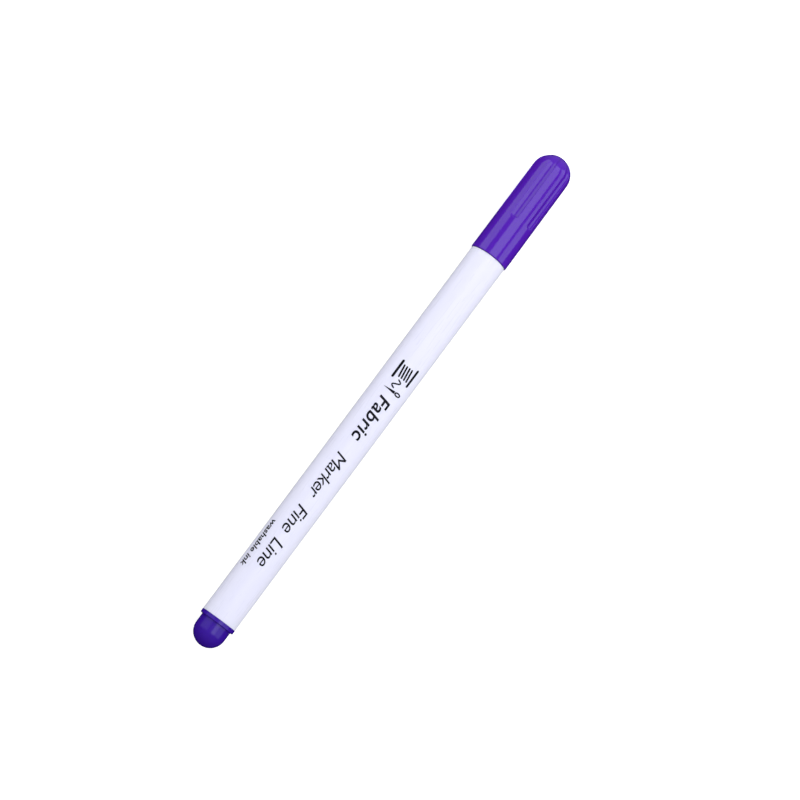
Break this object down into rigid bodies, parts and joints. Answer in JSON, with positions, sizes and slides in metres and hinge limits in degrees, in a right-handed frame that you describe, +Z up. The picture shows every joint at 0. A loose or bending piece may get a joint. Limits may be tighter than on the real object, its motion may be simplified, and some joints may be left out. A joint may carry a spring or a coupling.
{
  "type": "fabric marking pen",
  "caption": "Slim fibre-tip fabric marking pen with a fluted pull-off cap, a plain tapered barrel and a domed end plug.",
  "frame": {"origin": "on the pen's axis, half way along its overall length with the cap on", "axes": "+X along the axis from the plug to the cap, +Z up as the pen lies, one cap flute turned 13 degrees from +Z towards +Y"},
  "size_m": [0.138, 0.0094, 0.0094],
  "materials": {
    "barrel": "white polypropylene with a soft gloss and a faint lilac tint",
    "plug": "deep violet polypropylene, gloss",
    "section": "white polypropylene, satin",
    "nib": "bonded fibre soaked with violet ink",
    "reservoir": "fibre bundle soaked with violet ink",
    "film": "thin clear film",
    "cap": "violet polypropylene, gloss",
    "liner": "natural soft polyethylene",
    "print_ink": "black pad-printed ink; only the visual model has it"
  },
  "bodies": {
    "pen": {"barrel": "barrel", "end_plug": "plug", "front_section": "section", "writing_nib": "nib", "ink_reservoir": "reservoir", "reservoir_film": "film"},
    "cap": {"cap_shell": "cap", "cap_liner": "liner"}
  },
  "joints": [
    {"name": "cap_pull", "type": "slide", "parent": "pen", "child": "cap", "axis": [1, 0, 0], "range_m": [0, 0.032]}
  ]
}
